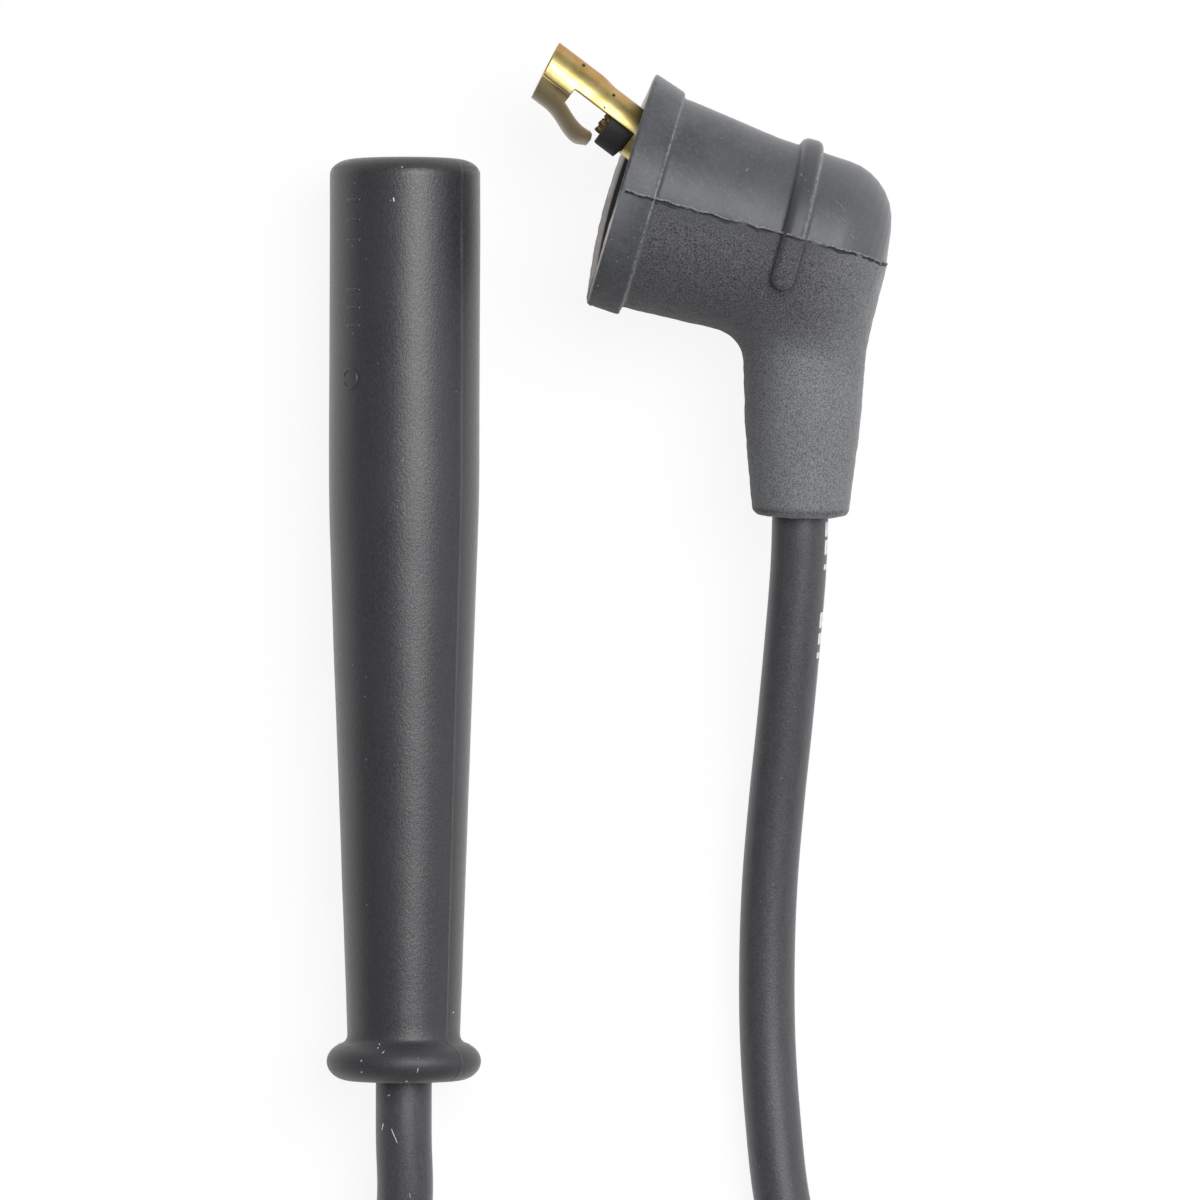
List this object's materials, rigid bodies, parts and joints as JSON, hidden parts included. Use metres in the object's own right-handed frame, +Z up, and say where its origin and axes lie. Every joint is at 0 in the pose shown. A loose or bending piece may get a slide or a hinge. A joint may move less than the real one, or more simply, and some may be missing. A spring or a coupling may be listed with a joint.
{
  "type": "spark plug wire",
  "caption": "Spark plug wire: a flexible cable with a long straight rubber boot for the plug and an elbow boot with a rolled brass terminal for the coil tower.",
  "frame": {"origin": "on the surface the lead lies on, under the middle of the box round the two boots and their terminals", "axes": "+Z up; the straight boot lies along Y with its mouth towards +Y; +X towards the elbow boot"},
  "size_m": [0.087, 0.2361, 0.0297],
  "materials": {
    "boot_rubber": "satin moulded charcoal rubber",
    "elbow_rubber": "matt, grainy and dusty moulded charcoal rubber",
    "cable_jacket": "matt charcoal silicone jacket",
    "terminal_brass": "rolled sheet brass, slightly tarnished",
    "spring_steel": "drawn spring wire",
    "cable_core": "brown fibre core, cut ragged",
    "tie_nylon": "moulded black nylon"
  },
  "bodies": {
    "root": {"plug_boot": "boot_rubber", "plug_terminal": "terminal_brass", "plug_terminal_clip": "spring_steel", "elbow_boot": "elbow_rubber", "tower_terminal": "terminal_brass", "ignition_cable": "cable_jacket", "plug_end_core": "cable_core", "tower_end_core": "cable_core", "coil_tie": "tie_nylon"}
  },
  "joints": []
}
